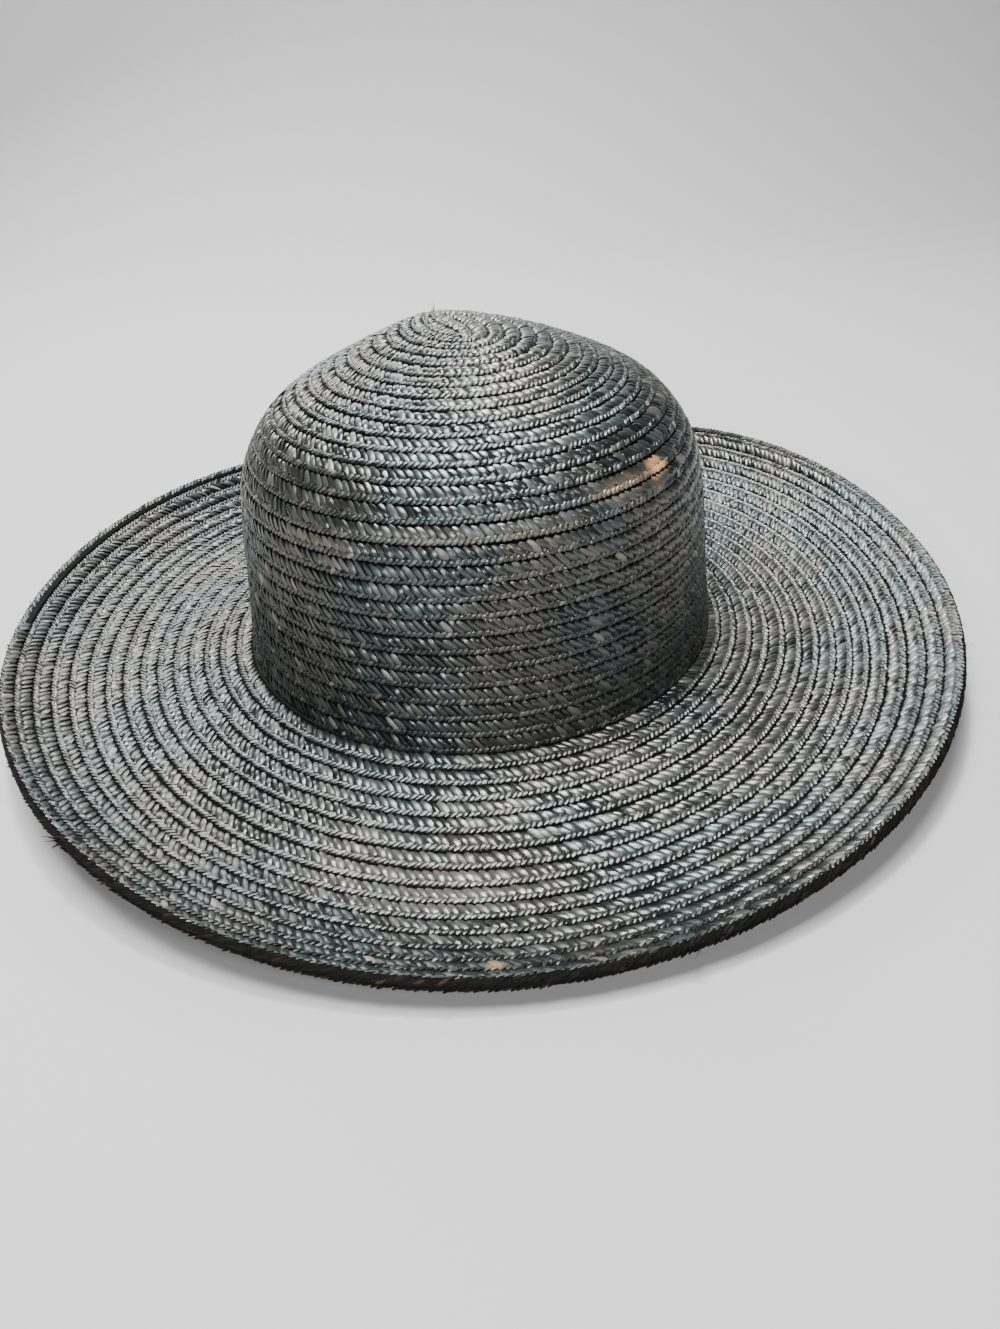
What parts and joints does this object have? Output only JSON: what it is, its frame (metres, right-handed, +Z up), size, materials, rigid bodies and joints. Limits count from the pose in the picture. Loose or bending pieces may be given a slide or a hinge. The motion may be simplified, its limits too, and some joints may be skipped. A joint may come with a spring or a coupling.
{
  "type": "sun hat",
  "caption": "Sun hat sewn from black straw plait: tall domed crown with an oval tip, and a wide brim that rolls up all round to a doubled edge.",
  "frame": {"origin": "under the middle of the rim's outline, on the surface that the hat rests on", "axes": "+Z up through the crown, -Y towards the front of the hat, +X towards the wearer's left"},
  "size_m": [0.3614, 0.3714, 0.1286],
  "materials": {
    "crown_straw": "black dyed straw plait with a satin sheen",
    "brim_straw": "black dyed straw plait with a satin sheen, a little faded",
    "edge_straw": "black dyed straw plait, brown-black where it is worn"
  },
  "bodies": {
    "root": {"crown": "crown_straw", "brim": "brim_straw", "edge_plait": "edge_straw"}
  },
  "joints": []
}
